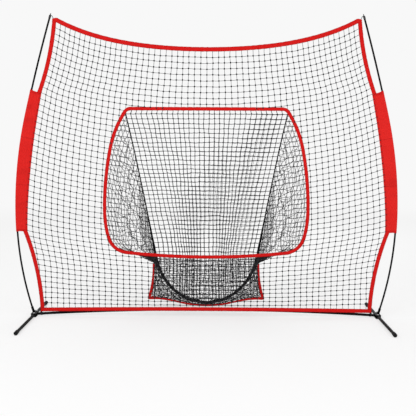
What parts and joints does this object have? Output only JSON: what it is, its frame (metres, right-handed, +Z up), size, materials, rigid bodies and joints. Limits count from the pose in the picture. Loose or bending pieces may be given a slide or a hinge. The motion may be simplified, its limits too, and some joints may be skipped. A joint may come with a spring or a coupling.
{
  "type": "pitching target net",
  "caption": "Free-standing sports net on a sprung bow frame with folding legs, a strike-zone opening and a ball pocket.",
  "frame": {"origin": "on the ground under the middle of the bounding box, midway between the two foot brackets, 1.3 mm behind the crossbar's plane", "axes": "+X to the right as the thrower sees the net, +Y back from the thrower through the net into the pocket, +Z up"},
  "size_m": [2.3522, 0.8826, 1.8482],
  "materials": {
    "frame_black": "satin black powder coat on steel tube",
    "bare_steel": "zinc-plated steel",
    "pole_black": "smooth black glass-fibre tube",
    "cap_rubber": "matte black moulded rubber",
    "tip_plastic": "moulded black plastic",
    "net_black": "knotted black cord netting",
    "pocket_net": "soft black cord netting",
    "seam_webbing": "black woven webbing",
    "red_binding": "red woven binding, stitched",
    "red_sleeve": "red coated polyester cloth",
    "tie_strap": "black woven strap",
    "elastic_cord": "black braided elastic cord"
  },
  "bodies": {
    "frame": {"crossbar_left": "frame_black", "crossbar_right": "frame_black", "crossbar_joiner": "bare_steel", "button_spring_joiner_left": "bare_steel", "button_spring_joiner_right": "bare_steel", "button_spring_corner_left": "bare_steel", "button_spring_corner_right": "bare_steel", "corner_bracket_left": "frame_black", "corner_bracket_right": "frame_black", "pole_socket_left": "frame_black", "pole_socket_right": "frame_black", "pivot_pin_front_left": "bare_steel", "pivot_pin_front_right": "bare_steel", "pivot_pin_rear_left": "bare_steel", "pivot_pin_rear_right": "bare_steel", "pole_lower_left": "pole_black", "pole_lower_right": "pole_black", "pole_middle_left": "pole_black", "pole_middle_right": "pole_black", "pole_upper_left": "pole_black", "pole_upper_right": "pole_black", "pole_ferrules_left": "bare_steel", "pole_ferrules_right": "bare_steel", "shock_cord_left": "elastic_cord", "shock_cord_right": "elastic_cord", "pole_tip_left": "tip_plastic", "pole_tip_right": "tip_plastic", "main_net": "net_black", "top_binding": "red_binding", "bottom_binding": "red_binding", "side_binding_left": "red_binding", "side_binding_right": "red_binding", "target_binding": "red_binding", "sleeve_left": "red_sleeve", "sleeve_right": "red_sleeve", "corner_loop_left": "elastic_cord", "corner_loop_right": "elastic_cord", "bottom_tie_left": "tie_strap", "bottom_tie_right": "tie_strap", "pocket_back": "pocket_net", "pocket_gusset": "pocket_net", "pocket_seam": "seam_webbing", "pocket_apron": "pocket_net", "apron_binding": "red_binding"},
    "front_leg_left": {"front_leg_left": "frame_black", "leg_cap_front_left": "cap_rubber"},
    "front_leg_right": {"front_leg_right": "frame_black", "leg_cap_front_right": "cap_rubber"},
    "rear_leg_left": {"rear_leg_left": "frame_black", "leg_cap_rear_left": "cap_rubber"},
    "rear_leg_right": {"rear_leg_right": "frame_black", "leg_cap_rear_right": "cap_rubber"},
    "joiner_button_left": {"snap_button_joiner_left": "bare_steel"},
    "joiner_button_right": {"snap_button_joiner_right": "bare_steel"},
    "corner_button_left": {"snap_button_corner_left": "bare_steel"},
    "corner_button_right": {"snap_button_corner_right": "bare_steel"}
  },
  "joints": [
    {"name": "front_leg_fold_left", "type": "hinge", "parent": "frame", "child": "front_leg_left", "pos_m": [-1.067, -0.032, 0.0117], "axis": [0, 0, 1], "range_deg": [0, 90]},
    {"name": "front_leg_fold_right", "type": "hinge", "parent": "frame", "child": "front_leg_right", "pos_m": [1.067, -0.032, 0.0117], "axis": [0, 0, -1], "range_deg": [0, 90]},
    {"name": "rear_leg_fold_left", "type": "hinge", "parent": "frame", "child": "rear_leg_left", "pos_m": [-1.067, 0.032, 0.0117], "axis": [0, 0, -1], "range_deg": [0, 90]},
    {"name": "rear_leg_fold_right", "type": "hinge", "parent": "frame", "child": "rear_leg_right", "pos_m": [1.067, 0.032, 0.0117], "axis": [0, 0, 1], "range_deg": [0, 90]},
    {"name": "joiner_button_press_left", "type": "slide", "parent": "frame", "child": "joiner_button_left", "axis": [0, -1, 0], "range_m": [0, 0.004], "stiffness_N_per_m": 1200, "springref_m": -0.001, "deforming": ["button_spring_joiner_left"]},
    {"name": "joiner_button_press_right", "type": "slide", "parent": "frame", "child": "joiner_button_right", "axis": [0, -1, 0], "range_m": [0, 0.004], "stiffness_N_per_m": 1200, "springref_m": -0.001, "deforming": ["button_spring_joiner_right"]},
    {"name": "corner_button_press_left", "type": "slide", "parent": "frame", "child": "corner_button_left", "axis": [0, -1, 0], "range_m": [0, 0.004], "stiffness_N_per_m": 1200, "springref_m": -0.001, "deforming": ["button_spring_corner_left"]},
    {"name": "corner_button_press_right", "type": "slide", "parent": "frame", "child": "corner_button_right", "axis": [0, -1, 0], "range_m": [0, 0.004], "stiffness_N_per_m": 1200, "springref_m": -0.001, "deforming": ["button_spring_corner_right"]}
  ]
}
